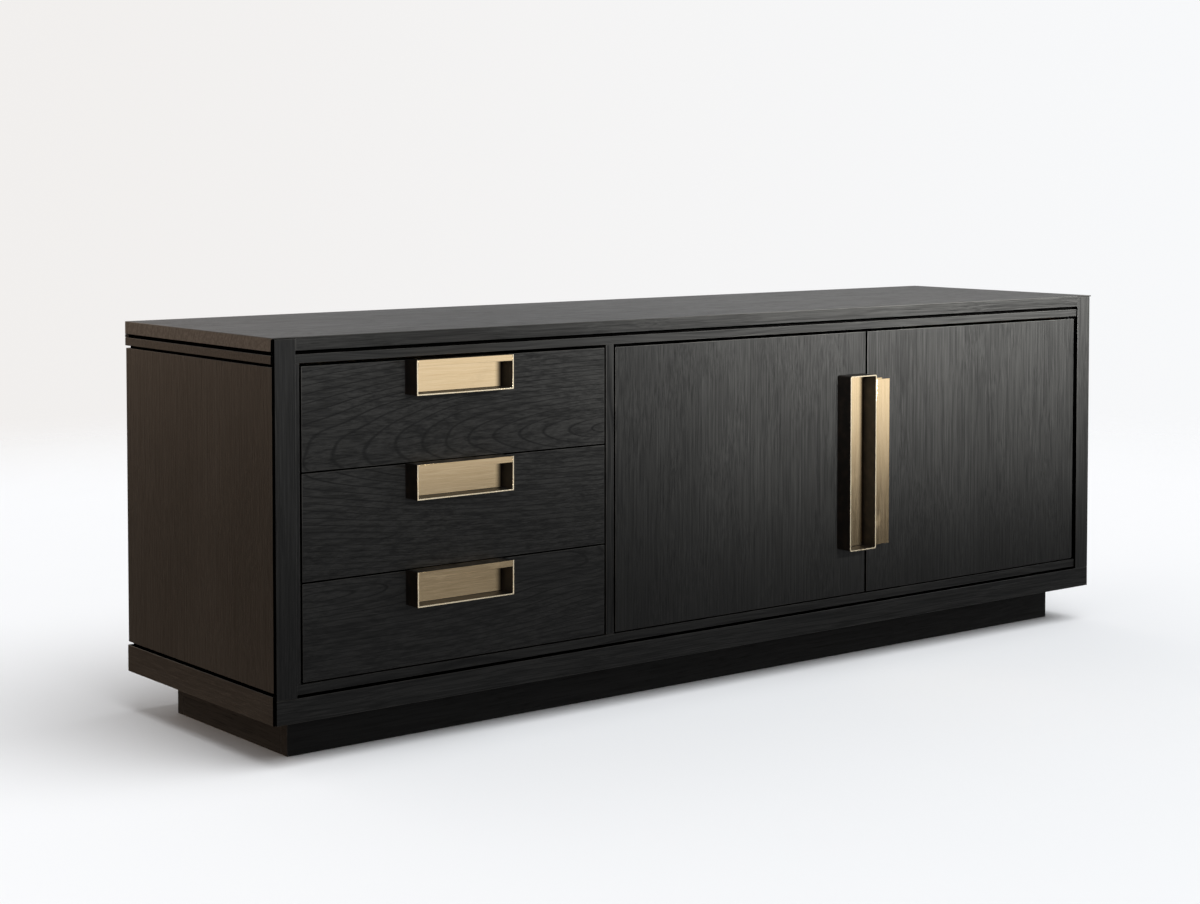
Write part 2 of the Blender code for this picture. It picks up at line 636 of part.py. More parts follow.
def build_right_pull(axis):
    """A channel beside the meeting edge, open towards the hinge side."""
    left = X_MEETING_RIGHT + RIGHT_PULL_EDGE
    right = left + RIGHT_PULL_WIDTH
    high_z = Z_FRONT_HIGH - RIGHT_PULL_TOP
    low_z = high_z - RIGHT_PULL_HEIGHT
    back_y = Y_FACE - SEAT
    front_y = Y_FACE - RIGHT_PULL_PROJECTION
    outline = [
        (left, back_y),
        (left, front_y),
        (right, front_y),
        (right, front_y + PULL_SHEET),
        (left + PULL_SHEET, front_y + PULL_SHEET),
        (left + PULL_SHEET, back_y - PULL_SHEET),
        (right, back_y - PULL_SHEET),
        (right, back_y),
    ]
    middle = place(0, 0, (low_z + high_z) / 2)
    add_outline("right_door_pull", [outline], high_z - low_z, middle, IN_PLAN, "brass", axis)


def main():
    """Builds the whole sideboard."""
    start_scene()
    build_plinth()
    build_boards()
    build_frame()
    build_sides()
    build_inside()
    for name, low_z, high_z in drawer_bodies():
        build_drawer(name, low_z, high_z)
    build_left_pull(build_door("left"))
    build_right_pull(build_door("right"))


main()
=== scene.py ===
"""A low black-oak sideboard: three drawers, a pair of doors, brass box pulls and a recessed plinth.

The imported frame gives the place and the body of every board. Each board is swapped for an eased
copy in its own finish, the pulls get their polished rims, and the back panel gets its screws.
"""

import logging
import math
from collections.abc import Callable, Iterable
from dataclasses import dataclass, field
from enum import Enum

import bmesh
import bpy
from mathutils import Matrix, Vector


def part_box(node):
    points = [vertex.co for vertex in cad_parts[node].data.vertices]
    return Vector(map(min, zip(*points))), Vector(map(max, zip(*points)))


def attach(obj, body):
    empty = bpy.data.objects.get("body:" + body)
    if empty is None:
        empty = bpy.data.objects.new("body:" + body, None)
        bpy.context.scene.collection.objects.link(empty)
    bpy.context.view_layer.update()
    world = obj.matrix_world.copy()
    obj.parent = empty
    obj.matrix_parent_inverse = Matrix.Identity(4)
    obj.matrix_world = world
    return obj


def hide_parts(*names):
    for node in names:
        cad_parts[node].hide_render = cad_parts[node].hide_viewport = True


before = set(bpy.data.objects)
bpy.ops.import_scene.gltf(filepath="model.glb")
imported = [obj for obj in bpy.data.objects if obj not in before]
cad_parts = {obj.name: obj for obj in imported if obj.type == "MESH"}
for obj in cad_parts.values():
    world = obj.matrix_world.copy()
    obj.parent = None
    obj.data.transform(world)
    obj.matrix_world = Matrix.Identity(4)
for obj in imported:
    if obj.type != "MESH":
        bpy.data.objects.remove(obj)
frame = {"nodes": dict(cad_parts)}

Colour = tuple[float, float, float]
Triple = tuple[float, float, float]
Number = "float | Value"
Point = "tuple[Value, Value, Value]"

LOG = logging.getLogger("sideboard")
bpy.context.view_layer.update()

SQUARE_ON = 0.9  # a normal's part above which a face looks squarely along an axis
ASLANT = 0.3  # and above which it looks at least partly that way
NO_WALL = 9.0  # further out than any piece


# --- shader values ---


@dataclass(frozen=True)
class Value:
    """A number, colour or vector that varies over a surface."""

    palette: "Palette"
    socket: bpy.types.NodeSocket

    def _math(self, operation: str, first: Number, second: Number) -> "Value":
        """One Math node on two numbers."""
        return self.palette.node("ShaderNodeMath", {"operation": operation}, {0: first, 1: second})

    def __add__(self, other: Number) -> "Value":
        """This value plus another."""
        return self._math("ADD", self, other)

    def __radd__(self, other: float) -> "Value":
        """A number plus this value."""
        return self._math("ADD", other, self)

    def __sub__(self, other: Number) -> "Value":
        """This value less another."""
        return self._math("SUBTRACT", self, other)

    def __rsub__(self, other: float) -> "Value":
        """A number less this value."""
        return self._math("SUBTRACT", other, self)

    def __mul__(self, other: Number) -> "Value":
        """This value times another."""
        return self._math("MULTIPLY", self, other)

    def __rmul__(self, other: float) -> "Value":
        """A number times this value."""
        return self._math("MULTIPLY", other, self)

    def __truediv__(self, other: Number) -> "Value":
        """This value over another."""
        return self._math("DIVIDE", self, other)

    def __rtruediv__(self, other: float) -> "Value":
        """A number over this value."""
        return self._math("DIVIDE", other, self)

    def __pow__(self, other: Number) -> "Value":
        """This value to a power."""
        return self._math("POWER", self, other)

    def size(self) -> "Value":
        """This value without its sign."""
        return self._math("ABSOLUTE", self, 0.0)

    def cycle(self) -> "Value":
        """The part of this value after the decimal point, which repeats as the value grows."""
        return self._math("FRACT", self, 0.0)

    def spread(self, low: float, high: float) -> "Value":
        """Zero below one level, one above another, and smooth between them.

        Args:
            low: Where the result starts to leave zero.
            high: Where the result reaches one. It may be less than low.

        Returns:
            The smooth step.
        """
        settings = {"interpolation_type": "SMOOTHSTEP"}
        return self.palette.node("ShaderNodeMapRange", settings, {0: self, 1: low, 2: high})


class Palette:
    """The node tree of one material or of the world."""

    def __init__(self, tree: bpy.types.NodeTree) -> None:
        """Empties the tree."""
        self.tree = tree
        tree.nodes.clear()

    def node(
        self,
        kind: str,
        settings: dict[str, object] | None = None,
        inputs: dict[int | str, object] | None = None,
        output: int | str = 0,
    ) -> Value:
        """Adds a node.

        Args:
            kind: The node's type.
            settings: Its own settings.
            inputs: The value or link of each socket.
            output: Which of its outputs is wanted.

        Returns:
            That output.
        """
        made = self.tree.nodes.new(kind)
        for name, setting in (settings or {}).items():
            setattr(made, name, setting)
        for name, value in (inputs or {}).items():
            if isinstance(value, Value):
                self.tree.links.new(value.socket, made.inputs[name])
            else:
                made.inputs[name].default_value = value
        return Value(self, made.outputs[output] if made.outputs else None)

    def point(self, coordinate: str = "Object") -> Point:
        """The three parts of a texture coordinate."""
        place = self.node("ShaderNodeTexCoord", output=coordinate)
        return self.parts(place)

    def parts(self, vector: Value) -> Point:
        """Splits a vector.

        Args:
            vector: The vector.

        Returns:
            Its three parts.
        """
        split = self.node("ShaderNodeSeparateXYZ", inputs={0: vector})
        outputs = split.socket.node.outputs
        return Value(self, outputs[0]), Value(self, outputs[1]), Value(self, outputs[2])

    def vector(self, x: Number, y: Number, z: Number) -> Value:
        """A vector of three numbers."""
        return self.node("ShaderNodeCombineXYZ", inputs={0: x, 1: y, 2: z})

    def noise(self, vector: Value, detail: float = 2.0, roughness: float = 0.5) -> Value:
        """Soft noise about one unit across, from nought to one."""
        inputs = {"Vector": vector, "Scale": 1.0, "Detail": detail, "Roughness": roughness}
        return self.node("ShaderNodeTexNoise", inputs=inputs)

    def drawn(
        self, point: Point, along: float, across: float, detail: float, roughness: float = 0.5
    ) -> Value:
        """Noise that is drawn out one way.

        Args:
            point: A point's parts, of which the first lies along the grain.
            along: How many marks there are in a metre along the grain.
            across: How many there are across it.
            detail: How many finer layers it has.
            roughness: How much the finer layers show.

        Returns:
            The noise, from nought to one.
        """
        first, second, third = point
        place = self.vector(first * along, second * across, third * across)
        return self.noise(place, detail, roughness)

    def speckle(self, scale: float, detail: float = 2.0, roughness: float = 0.5) -> Value:
        """Noise of one size along every axis, with so many specks in a metre."""
        return self.drawn(self.point(), scale, scale, detail, roughness)

    def mix(self, share: Number, first: object, second: object) -> Value:
        """Two colours mixed.

        Args:
            share: How much of the second colour, from nought to one.
            first: A colour, or a value that carries one.
            second: The other.

        Returns:
            The mixed colour.
        """
        both = [c if isinstance(c, Value) else (*c, 1.0) for c in (first, second)]
        inputs = {0: share, 6: both[0], 7: both[1]}
        return self.node("ShaderNodeMix", {"data_type": "RGBA"}, inputs, output=2)

    def bump(self, height: Value, depth: float, strength: float = 1.0) -> Value:
        """A surface normal raised by a height.

        Args:
            height: From nought to one.
            depth: What a height of one stands for, in metres.
            strength: How much of the bump shows.

        Returns:
            The normal.
        """
        inputs = {"Strength": strength, "Distance": depth, "Height": height}
        return self.node("ShaderNodeBump", inputs=inputs)


def new_material(name: str) -> tuple[bpy.types.Material, Palette]:
    """Starts a material.

    Args:
        name: The material's name.

    Returns:
        The empty material and its palette.
    """
    material = bpy.data.materials.new(name)
    material.use_nodes = True
    return material, Palette(material.node_tree)


def surface(palette: Palette, **sockets: object) -> None:
    """Ends a palette in one Principled surface.

    Args:
        palette: The material's palette.
        **sockets: The surface's inputs, with spaces in their names written as underscores.
    """
    inputs = {name.replace("_", " "): value for name, value in sockets.items()}
    made = palette.node("ShaderNodeBsdfPrincipled", inputs=inputs)
    palette.node("ShaderNodeOutputMaterial", inputs={0: made})


# --- finishes ---


class Grain(Enum):
    """Which way a board's grain runs, then across its face, then into it."""

    ACROSS_FRONT = (0, 2, 1)
    UP_FRONT = (2, 0, 1)
    UP_SIDE = (2, 1, 0)
    ALONG_SIDE = (1, 2, 0)
    ALONG_TOP = (0, 1, 2)

    def sort(self, point: Point) -> Point:
        """The parts of a point in the order along, across and into the board."""
        return tuple(point[axis] for axis in self.value)


@dataclass(frozen=True)
class Cut:
    """How a board was cut from its log: where the rings' centre lies from the board's own."""

    along: float = 0.0
    across: float = 0.45
    into: float = 0.10
    taper: float = 0.05  # how fast the rings widen along the board


@dataclass(frozen=True)
class StainedOak:
    """Open-pored oak under a black stain and a satin lacquer."""

    shade: Colour = (0.0022, 0.0021, 0.0020)
    light: Colour = (0.042, 0.0415, 0.0395)
    # The eased edges' lighter colour: a painted highlight.
    edge_highlight: Colour = (0.075, 0.073, 0.068)
    ring_width: float = 0.0078
    ring_strength: float = 0.78
    ring_lean: float = 0.045  # how far the log wanders off its axis
    ring_wave: float = 0.012
    ring_ripple: float = 0.0016
    streak_blur: float = 0.13
    streak_width: float = 0.0062
    streak_length: float = 0.22
    fibre_share: float = 0.36  # a fibre's width as a share of a streak's
    pore_width: float = 0.0016
    pore_length: float = 0.055
    relief: float = 0.00030
    roughness: float = 0.33
    specular: float = 0.14

    def dress(self, name: str, grain: Grain, centre: Vector, cut: Cut) -> bpy.types.Material:
        """Makes the stain for one board.

        Args:
            name: The material's name.
            grain: Which way the grain runs.
            centre: The board's centre.
            cut: How the board was cut from its log.

        Returns:
            The material.
        """
        material, palette = new_material(name)
        along, across, into = grain.sort(palette.point())
        middle = [centre[axis] for axis in grain.value]
        along = along - (middle[0] + cut.along)
        across = across - middle[1]
        into = into - middle[2]
        point = (along, across, into)

        wander = palette.drawn(point, 2.2, 7.0, 2.0) - 0.5
        ripple = palette.drawn(point, 6.0, 30.0, 1.0) - 0.5
        side = across - cut.across
        depth = into + cut.into + along * cut.taper + wander * self.ring_lean
        radius = (side * side + depth * depth) ** 0.5
        radius = radius + wander * self.ring_wave + ripple * self.ring_ripple
        ring = (radius / self.ring_width).cycle()
        early = (ring - 0.5).size().spread(0.38, 0.49)

        width = self.streak_width
        drawn = palette.vector(along / self.streak_length, side / width, depth / width)
        streak = palette.noise(drawn, 3.0, 0.62)
        width = self.streak_width * self.fibre_share
        fibre = palette.noise(palette.vector(along * 11.0, side / width, depth / width), 1.0)
        width = self.pore_width
        drawn = palette.vector(along / self.pore_length, side / width, depth / width)
        pore = palette.noise(drawn, 1.0).spread(0.55, 0.68)
        cloud = palette.drawn(point, 1.6, 9.0, 2.0)

        line = early * (self.ring_strength + (cloud - 0.5) * 0.9)
        body = streak.spread(0.5 - self.streak_blur, 0.5 + self.streak_blur)
        pores = pore * (0.5 + early * 0.5)
        figure = body * (1.0 - line)
        tone = 0.10 + body * 0.42 + fibre.spread(0.30, 0.70) * 0.28 + (cloud - 0.5) * 0.40
        tone = tone * (1.0 - line) * (1.0 - pores * 0.60)
        colour = palette.mix(tone, self.shade, self.light)
        height = figure * 0.40 + fibre * 0.15 - pores * 0.8
        surface(
            palette,
            Base_Color=colour,
            Roughness=self.roughness + pores * 0.22 - figure * 0.05 + (cloud - 0.5) * 0.08,
            Specular_IOR_Level=self.specular,
            Normal=palette.bump(height, self.relief, 0.55),
        )
        return material

    def dress_arris(self, name: str) -> bpy.types.Material:
        """Makes the eased edges, mottled towards a lighter painted highlight.

        Args:
            name: The material's name.

        Returns:
            The material.
        """
        material, palette = new_material(name)
        highlight_mottle = palette.speckle(30.0, 3.0)
        # Painted highlight along the edges.
        colour = palette.mix(highlight_mottle.spread(0.35, 0.75), self.light, self.edge_highlight)
        surface(palette, Base_Color=colour, Roughness=0.40 + highlight_mottle * 0.15, Specular_IOR_Level=self.specular)
        return material


@dataclass(frozen=True)
class Brass:
    """Satin brass, brushed one way."""

    light: Colour = (0.85, 0.66, 0.42)
    deep: Colour = (0.64, 0.46, 0.25)
    polished: Colour = (0.95, 0.82, 0.60)
    rubbed: Colour = (0.86, 0.70, 0.47)
    roughness: float = 0.13
    line: float = 0.0006  # how wide a brush mark is
    # The painted shade that darkens the brass beside a tray's walls.
    wall_shade: Colour = (0.012, 0.008, 0.005)
    wall_shade_reach: float = 0.013  # how far the painted shade reaches from a wall

    def dress(
        self, name: str, grain: Grain, left: float = -NO_WALL, right: float = NO_WALL
    ) -> bpy.types.Material:
        """Makes the brushed face, which painted shade darkens beside the tray's walls.

        Args:
            name: The material's name.
            grain: Which way the brushing runs.
            left: Where the left wall stands.
            right: Where the right wall stands.

        Returns:
            The material.
        """
        material, palette = new_material(name)
        point = grain.sort(palette.point())
        along, across, into = point
        stroke = palette.vector(along * 25.0, across / self.line, into / self.line)
        brush = palette.noise(stroke, 2.0, 0.6)
        band = palette.drawn(point, 6.0, 260.0, 1.0)
        smear = palette.drawn(point, 30.0, 30.0, 3.0)
        tone = brush.spread(0.25, 0.75) * 0.5 + band * 0.5
        x = palette.point()[0]
        # Painted shade, strongest at each wall.
        near_wall_shade = x.spread(left + self.wall_shade_reach, left) + x.spread(right - self.wall_shade_reach, right)
        colour = palette.mix(tone, self.deep, self.light)
        surface(
            palette,
            Base_Color=palette.mix(near_wall_shade, colour, self.wall_shade),
            Metallic=1.0,
            Roughness=self.roughness + (brush - 0.5) * 0.12 + smear.spread(0.55, 0.80) * 0.05,
            Normal=palette.bump(brush, 0.000008, 0.5),
        )
        return material

    def dress_rim(self, name: str) -> bpy.types.Material:
        """Makes the polished front edges, with a few rubbed spots.

        Args:
            name: The material's name.

        Returns:
            The material.
        """
        material, palette = new_material(name)
        spot = palette.speckle(90.0, 3.0)
        surface(
            palette,
            Base_Color=palette.mix(spot.spread(0.45, 0.75), self.polished, self.rubbed),
            Metallic=1.0,
            Roughness=0.20 + spot * 0.12,
        )
        return material


@dataclass(frozen=True)
class PaintedShadeFinish:
    """A near-black finish, mottled dark to brown, used as painted shade."""

    dark: Colour = (0.0035, 0.0030, 0.0026)
    brown: Colour = (0.014, 0.010, 0.007)
    roughness: float = 0.42
    specular: float = 0.25

    def dress(self, name: str) -> bpy.types.Material:
        """Makes the painted shade.

        Args:
            name: The material's name.

        Returns:
            The material.
        """
        material, palette = new_material(name)
        mottle = palette.speckle(70.0, 4.0, 0.6)
        speck = palette.speckle(900.0, 1.0)
        surface(
            palette,
            Base_Color=palette.mix(mottle.spread(0.40, 0.75), self.dark, self.brown),
            Roughness=self.roughness + mottle * 0.18,
            Specular_IOR_Level=self.specular,
            Normal=palette.bump(speck, 0.00003, 0.4),
        )
        return material


@dataclass(frozen=True)
class PlatedSteel:
    """Zinc-plated steel, rolled along its length."""

    light: Colour = (0.62, 0.63, 0.64)
    dull: Colour = (0.45, 0.46, 0.48)

    def dress(self, name: str) -> bpy.types.Material:
        """Makes the plating.

        Args:
            name: The material's name.

        Returns:
            The material.
        """
        material, palette = new_material(name)
        x, y, z = palette.point()
        spangle = palette.node(
            "ShaderNodeTexVoronoi",
            inputs={"Vector": palette.vector(x * 160.0, y * 110.0, z * 160.0), "Scale": 1.0},
            output="Color",
        )
        flake = palette.parts(spangle)[0]
        roll = palette.noise(palette.vector(x * 900.0, y * 12.0, z * 900.0), 2.0)
        surface(
            palette,
            Base_Color=palette.mix(flake * 0.6 + roll * 0.4, self.dull, self.light),
            Metallic=1.0,
            Roughness=0.28 + roll * 0.16 + flake * 0.06,
            Normal=palette.bump(roll, 0.00003, 0.4),
        )
        return material


@dataclass(frozen=True)
class BirchPly:
    """Clear-lacquered birch plywood, with its layers showing on the cut edges."""

    pale: Colour = (0.66, 0.51, 0.34)
    warm: Colour = (0.52, 0.37, 0.22)
    glue: Colour = (0.20, 0.12, 0.07)
    layer: float = 0.0014

    def dress(self, name: str, grain: Grain) -> bpy.types.Material:
        """Makes the face veneer and the layers.

        Args:
            name: The material's name.
            grain: The grain of the face, whose last axis runs through the layers.

        Returns:
            The material.
        """
        material, palette = new_material(name)
        point = grain.sort(palette.point())
        along, across, into = point
        facing = grain.sort(palette.point("Normal"))[2]
        wander = palette.drawn(point, 2.0, 6.0, 2.0) - 0.5
        flame = (across * 22.0 + wander * 3.4 + along * 0.6).cycle()
        streak = palette.drawn(point, 6.0, 420.0, 2.0)
        fleck = palette.drawn(point, 60.0, 700.0, 1.0)
        tone = streak * 0.5 + flame.spread(0.0, 0.5) * flame.spread(1.0, 0.5) * 0.25 + wander * 0.4
        face = palette.mix(tone + fleck.spread(0.66, 0.74) * 0.35, self.pale, self.warm)
        ply = (into / (2.0 * self.layer)).cycle()
        crossed = ply.spread(0.48, 0.52)
        seam = (ply - 0.5).size().spread(0.05, 0.02)
        edge = palette.mix(crossed * 0.7 + streak * 0.3, self.pale, self.warm)
        edge = palette.mix(seam * 0.8, edge, self.glue)
        surface(
            palette,
            Base_Color=palette.mix(facing.size().spread(0.55, 0.45), face, edge),
            Roughness=0.42 + streak * 0.18,
            Normal=palette.bump(streak, 0.00008, 0.5),
        )
        return material


@dataclass(frozen=True)
class MouldedPlastic:
    """Charcoal plastic with a spark-eroded grain."""

    dark: Colour = (0.007, 0.007, 0.008)
    light: Colour = (0.014, 0.014, 0.015)

    def dress(self, name: str) -> bpy.types.Material:
        """Makes the moulded skin.

        Args:
            name: The material's name.

        Returns:
            The material.
        """
        material, palette = new_material(name)
        grit = palette.speckle(1500.0)
        bloom = palette.speckle(80.0)
        surface(
            palette,
            Base_Color=palette.mix(bloom, self.dark, self.light),
            Roughness=0.48 + grit * 0.16,
            Normal=palette.bump(grit, 0.00008, 0.6),
        )
        return material


@dataclass(frozen=True)
class StudioPaper:
    """The pale floor, which thins away into the backdrop."""

    colour: Colour = (0.86, 0.86, 0.865)
    dip: Colour = (0.8514, 0.8514, 0.85635)
    solid_to: float = 2.4
    gone_at: float = 4.6

    def dress(self, name: str) -> bpy.types.Material:
        """Makes the paper.

        Args:
            name: The material's name.

        Returns:
            The material.
        """
        material, palette = new_material(name)
        x, y, _ = palette.point()
        tooth = palette.noise(palette.vector(x * 3.0, y * 3.0, 0.0), 2.0)
        shade = palette.mix(tooth, self.colour, self.dip)
        paper = palette.node("ShaderNodeBsdfDiffuse", inputs={"Color": shade})
        clear = palette.node("ShaderNodeBsdfTransparent")
        reach = (x * x + y * y) ** 0.5
        ends = palette.node(
            "ShaderNodeMixShader",
            inputs={0: reach.spread(self.solid_to, self.gone_at), 1: paper, 2: clear},
        )
        palette.node("ShaderNodeOutputMaterial", inputs={0: ends})
        return material


# --- shapes ---


@dataclass(frozen=True)
class Edges:
    """How a board's or a sheet's corners are eased."""

    radius: float
    steps: int = 2
    sharper_than: float = math.radians(30)
    shortest: float = 0.004  # shorter edges are left as they are


WOOD_EDGES = Edges(0.0007)
FINE_EDGES = Edges(0.0004)
METAL_EDGES = Edges(0.00025)


def from_node(node: str) -> bmesh.types.BMesh:
    """Copies a frame node.

    Args:
        node: The node's name.

    Returns:
        Its shape, merged, with one face to each flat side.
    """
    shape = bmesh.new()
    shape.from_mesh(frame["nodes"][node].data)
    bmesh.ops.remove_doubles(shape, verts=shape.verts, dist=1e-5)
    bmesh.ops.dissolve_limit(
        shape, angle_limit=math.radians(0.5), verts=shape.verts, edges=shape.edges
    )
    for face in shape.faces:
        face.material_index = 0
        face.smooth = False
    return shape


def ease(shape: bmesh.types.BMesh, edges: Edges, finish_index: int = 0) -> None:
    """Rounds a shape's sharp corners.

    Args:
        shape: The shape.
        edges: How far and how finely.
        finish_index: Which of the piece's finishes the rounding wears.
    """
    flats = set(shape.faces)
    sharp = [
        edge
        for edge in shape.edges
        if edge.is_manifold
        and edge.calc_face_angle(0.0) > edges.sharper_than
        and edge.calc_length() > edges.shortest
    ]
    made = bmesh.ops.bevel(
        shape,
        geom=sharp,
        offset=edges.radius,
        offset_type="OFFSET",
        affect="EDGES",
        segments=edges.steps,
        profile=0.5,
        material=-1,
        clamp_overlap=True,
    )
    for face in made["faces"]:
        if face not in flats:
            face.smooth = True
            face.material_index = finish_index


def add_piece(
    name: str,
    shape: bmesh.types.BMesh,
    body: str,
    finishes: Iterable[bpy.types.Material],
    nodes: Iterable[str] = (),
) -> bpy.types.Object:
    """Makes a shape a piece of the sideboard.

    Args:
        name: The piece's name.
        shape: Its shape, which is used up.
        body: The body it rides on.
        finishes: Its materials, in the order of its faces' indices.
        nodes: The frame nodes it stands for.

    Returns:
        The piece.
    """
    mesh = bpy.data.meshes.new(name)
    shape.to_mesh(mesh)
    shape.free()
    for finish in finishes:
        mesh.materials.append(finish)
    piece = bpy.data.objects.new(name, mesh)
    bpy.context.scene.collection.objects.link(piece)
    if nodes:
        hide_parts(*nodes)
    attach(piece, body)
    LOG.info("%s: %d faces on %s", name, len(mesh.polygons), body)
    return piece


def centre_of(node: str) -> Vector:
    """The middle of a frame node's box."""
    low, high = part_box(node)
    return (low + high) / 2


@dataclass(frozen=True)
class Screw:
    """A countersunk screw head with a round drive."""

    radius: float = 0.0035
    proud: float = 0.0003
    sunk: float = 0.0008
    dome: float = 0.0001
    drive_depth: float = 0.0007
    sides: int = 20

    def add_to(self, shape: bmesh.types.BMesh, place: Vector, facing: Vector) -> None:
        """Adds one head to a shape.

        Args:
            shape: The shape that collects the heads.
            place: The middle of the head, on the surface it is driven into.
            facing: The way the head faces.
        """
        turn = facing.to_track_quat("Z", "Y").to_matrix().to_4x4()
        depth = self.proud + self.sunk
        made = bmesh.ops.create_cone(
            shape,
            cap_ends=True,
            segments=self.sides,
            radius1=self.radius * 0.8,
            radius2=self.radius,
            depth=depth,
            matrix=Matrix.Translation(place + facing * (self.proud - depth / 2)) @ turn,
        )
        faces = {face for vert in made["verts"] for face in vert.link_faces}
        cap = max(faces, key=lambda face: face.calc_center_median().dot(facing))
        bmesh.ops.inset_region(shape, faces=[cap], thickness=self.radius * 0.12, depth=self.dome)
        bmesh.ops.inset_region(shape, faces=[cap], thickness=self.radius * 0.42)
        bmesh.ops.inset_region(
            shape, faces=[cap], thickness=self.radius * 0.06, depth=-self.drive_depth
        )


def add_screws(
    name: str,
    body: str,
    finish: bpy.types.Material,
    screw: Screw,
    places: Iterable[Vector],
    facing: Vector,
) -> bpy.types.Object:
    """Adds a set of screw heads as one piece.

    Args:
        name: The piece's name.
        body: The body it rides on.
        finish: The heads' material.
        screw: The head.
        places: The middle of each head.
        facing: The way they all face.

    Returns:
        The piece.
    """
    shape = bmesh.new()
    for place in places:
        screw.add_to(shape, place, facing)
    bmesh.ops.recalc_face_normals(shape, faces=shape.faces)
    return add_piece(name, shape, body, [finish])


# --- sub-assemblies ---


def faces_out(face: bmesh.types.BMFace) -> bool:
    """Whether a face looks out towards the front."""
    return face.normal.y < -SQUARE_ON


def is_edge(face: bmesh.types.BMFace) -> bool:
    """Whether a face is one of the narrow edges round a front."""
    return abs(face.normal.y) < ASLANT


@dataclass
class Workshop:
    """The finishes that the pieces share, and how a frame node is swapped for one."""

    rim_depth: float = 0.0008
    oak: StainedOak = StainedOak()
    # The top's lighter copy of the oak: painted light on the top.
    top: StainedOak = StainedOak(
        shade=(0.014, 0.0136, 0.0128),
        light=(0.068, 0.065, 0.061),
        ring_width=0.017,
        ring_strength=0.70,
        streak_width=0.0060,
        streak_length=0.12,
        roughness=0.50,
        specular=0.42,
    )
    veneer: StainedOak = StainedOak(
        shade=(0.0050, 0.0049, 0.0047),
        ring_strength=0.35,
        streak_width=0.0032,
        streak_length=0.36,
        streak_blur=0.20,
    )
    # A darker copy of the oak; on the left stile and the filler strip it is painted shade.
    frame: StainedOak = StainedOak(
        light=(0.030, 0.0295, 0.0285),
        ring_strength=0.35,
        streak_width=0.0036,
        streak_length=0.16,
        streak_blur=0.20,
    )
    plinth: StainedOak = StainedOak(
        shade=(0.0030, 0.0028, 0.0026),
        light=(0.009, 0.0086, 0.0081),
        roughness=0.68,
        specular=0.10,
    )
    arris: bpy.types.Material = field(init=False)
    arris_top: bpy.types.Material = field(init=False)
    arris_plinth: bpy.types.Material = field(init=False)
    gap_painted_shade: bpy.types.Material = field(init=False)
    steel: bpy.types.Material = field(init=False)
    black_steel: bpy.types.Material = field(init=False)
    tray_shade: bpy.types.Material = field(init=False)
    rim: bpy.types.Material = field(init=False)
    brass_flat: bpy.types.Material = field(init=False)
    brass_tall: bpy.types.Material = field(init=False)
    brass_in_tray: bpy.types.Material = field(init=False)
    brass_in_tall_tray: bpy.types.Material = field(init=False)

    def __post_init__(self) -> None:
        """Makes the materials that don't depend on a board's place."""
        self.arris = self.oak.dress_arris("oak_arris")
        self.arris_top = self.top.dress_arris("top_arris")
        self.arris_plinth = self.plinth.dress_arris("plinth_arris")
        # Near-black matt painted shade for the faces that line gaps, grooves and recesses.
        matt = PaintedShadeFinish((0.0008, 0.0008, 0.0008), (0.0016, 0.0015, 0.0014), 0.80, 0.0)
        self.gap_painted_shade = matt.dress("gap_painted_shade")
        self.steel = PlatedSteel().dress("plated_steel")
        blackened = PlatedSteel((0.030, 0.030, 0.032), (0.016, 0.016, 0.017))
        self.black_steel = blackened.dress("black_steel")
        # The pull trays' walls wear near-black painted shade.
        self.tray_shade = PaintedShadeFinish().dress("black_bronze")
        self.rim = Brass().dress_rim("polished_rim")
        self.brass_flat = Brass().dress("brass_brushed_across", Grain.ACROSS_FRONT)
        self.brass_tall = Brass().dress("brass_brushed_up", Grain.UP_FRONT)
        low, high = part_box("top_drawer_pull_sheet")
        self.brass_in_tray = Brass().dress("brass_in_tray", Grain.ACROSS_FRONT, low.x, high.x)
        low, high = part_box("left_door_pull_plate")
        self.brass_in_tall_tray = Brass().dress("brass_in_tall_tray", Grain.UP_FRONT, low.x, high.x)

    def oak_board(
        self,
        node: str,
        body: str,
        grain: Grain,
        cut: Cut = Cut(),
        slot: str = "black_oak",
        edges: Edges = WOOD_EDGES,
        stain: StainedOak | None = None,
        blacked: Callable[[bmesh.types.BMFace], bool] | None = None,
        lipped: bool = False,
    ) -> bpy.types.Object:
        """Swaps a frame node for an eased oak board.

        Args:
            node: The frame node.
            body: The body it rides on.
            grain: Which way its grain runs.
            cut: How it was cut from its log.
            slot: Which of the three stains it wears.
            edges: How its corners are eased.
            stain: A finer-grained finish to wear instead of the slot's own.
            blacked: Picks the faces that line a gap, groove or recess, which wear near-black painted
                shade.
            lipped: Whether its front faces wear the veneer stain instead of the slot's stain, which on
                the top is lightened as painted light.

        Returns:
            The board.
        """
        slot_stain, arris = {
            "black_oak": (self.oak, self.arris),
            "top_oak": (self.top, self.arris_top),
            "plinth_black": (self.plinth, self.arris_plinth),
        }[slot]
        shape = from_node(node)
        ease(shape, edges, 1)
        for face in shape.faces:
            if blacked and blacked(face):
                face.material_index = 2
            elif lipped and faces_out(face) and face.material_index == 0:
                face.material_index = 3
        centre = centre_of(node)
        finishes = [(stain or slot_stain).dress(f"{node}_oak", grain, centre, cut), arris, self.gap_painted_shade]
        if lipped:
            plain_front_stain = self.veneer.dress(f"{node}_lipping", Grain.ACROSS_FRONT, centre, cut)
            finishes.append(plain_front_stain)
        return add_piece(f"{node}_board", shape, body, finishes, [node])

